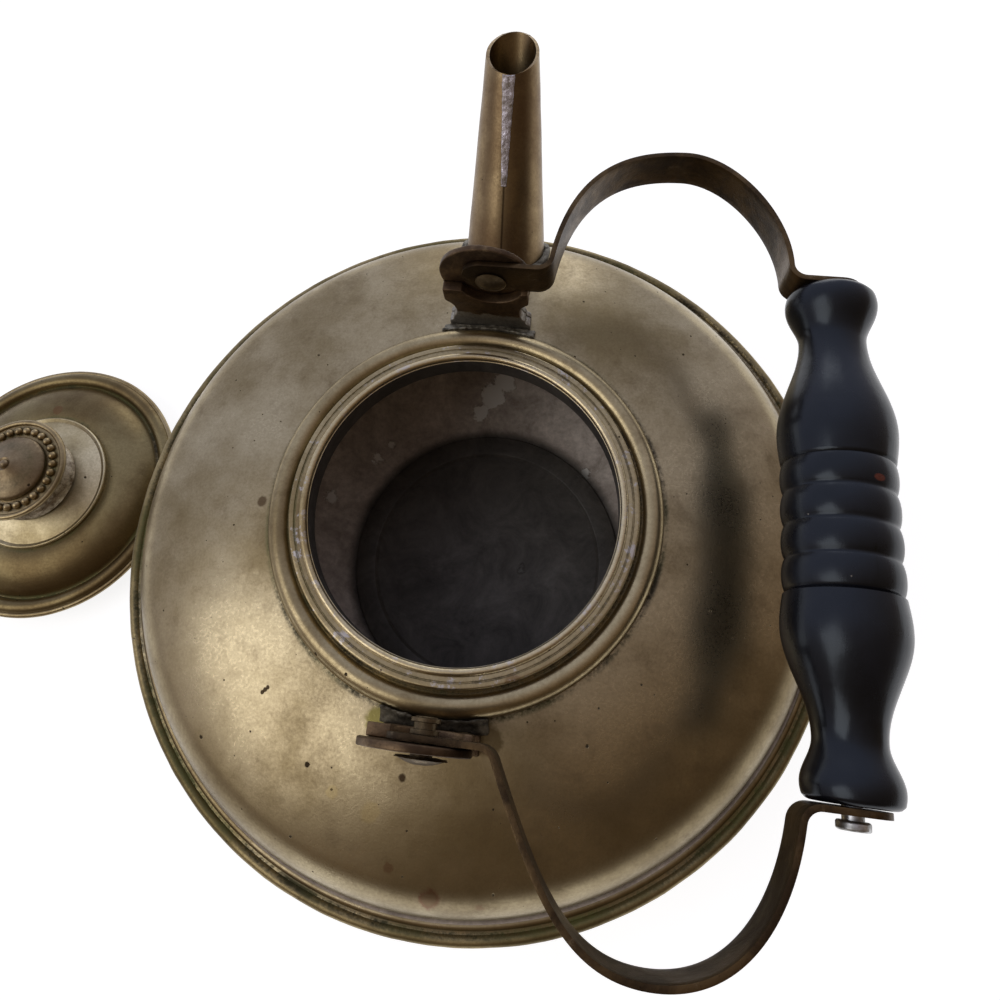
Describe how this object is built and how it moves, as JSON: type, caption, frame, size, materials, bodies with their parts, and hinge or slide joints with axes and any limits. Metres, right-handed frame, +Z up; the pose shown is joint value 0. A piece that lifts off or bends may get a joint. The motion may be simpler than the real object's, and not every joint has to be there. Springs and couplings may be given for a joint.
{
  "type": "spirit kettle with bail",
  "caption": "Squat spun-brass kettle with a straight spout, a bail that folds over a turned wooden grip and a loose knobbed lid.",
  "frame": {"origin": "centre of the kettle's flat base, on the surface that it stands on", "axes": "+Z up along the kettle's axis, +Y along the spout, +X towards the side on which the bail lies folded"},
  "size_m": [0.2843, 0.2205, 0.0983],
  "materials": {
    "aged_brass": "satin, tarnished brown",
    "lip_brass": "worn bright",
    "cast_brass": "dull, dark",
    "strap_bronze": "dark satin",
    "tinned": "dull grey tinning",
    "solder": "dull",
    "steel_pin": "worn bright",
    "ebonised_wood": "semi-gloss black"
  },
  "bodies": {
    "kettle": {"body_dome": "aged_brass", "body_bowl": "aged_brass", "base_plate": "tinned", "rim_roll": "aged_brass", "neck_collar": "aged_brass", "neck_lip": "lip_brass", "spout": "aged_brass", "spout_seam": "solder", "spout_root": "solder", "bracket_front": "cast_brass", "bracket_back": "cast_brass", "foot_solder_front": "solder", "foot_solder_back": "solder", "rivet_front": "steel_pin", "rivet_back": "cast_brass"},
    "bail": {"arm_front": "strap_bronze", "arm_back": "strap_bronze", "grip_rod": "steel_pin", "rod_head_front": "strap_bronze", "rod_head_back": "steel_pin"},
    "grip": {"grip": "ebonised_wood"},
    "lid": {"lid_shell": "aged_brass", "lid_edge": "aged_brass", "lid_collar": "tinned", "lid_boss": "aged_brass", "knob_stem": "solder", "knob_gallery": "lip_brass", "knob_button": "aged_brass", "lid_rivet": "solder"}
  },
  "joints": [
    {"name": "bail_swing", "type": "hinge", "parent": "kettle", "child": "bail", "pos_m": [0.0016, 0, 0.086], "axis": [0, -1, 0], "range_deg": [0, 140]},
    {"name": "grip_turn", "type": "hinge", "parent": "bail", "child": "grip", "pos_m": [0.0818, 0, 0.086], "axis": [0, 1, 0], "continuous": true},
    {"name": "lid_lift", "type": "slide", "parent": "kettle", "child": "lid", "axis": [0, 0, 1], "range_m": [0, 0.12]}
  ]
}
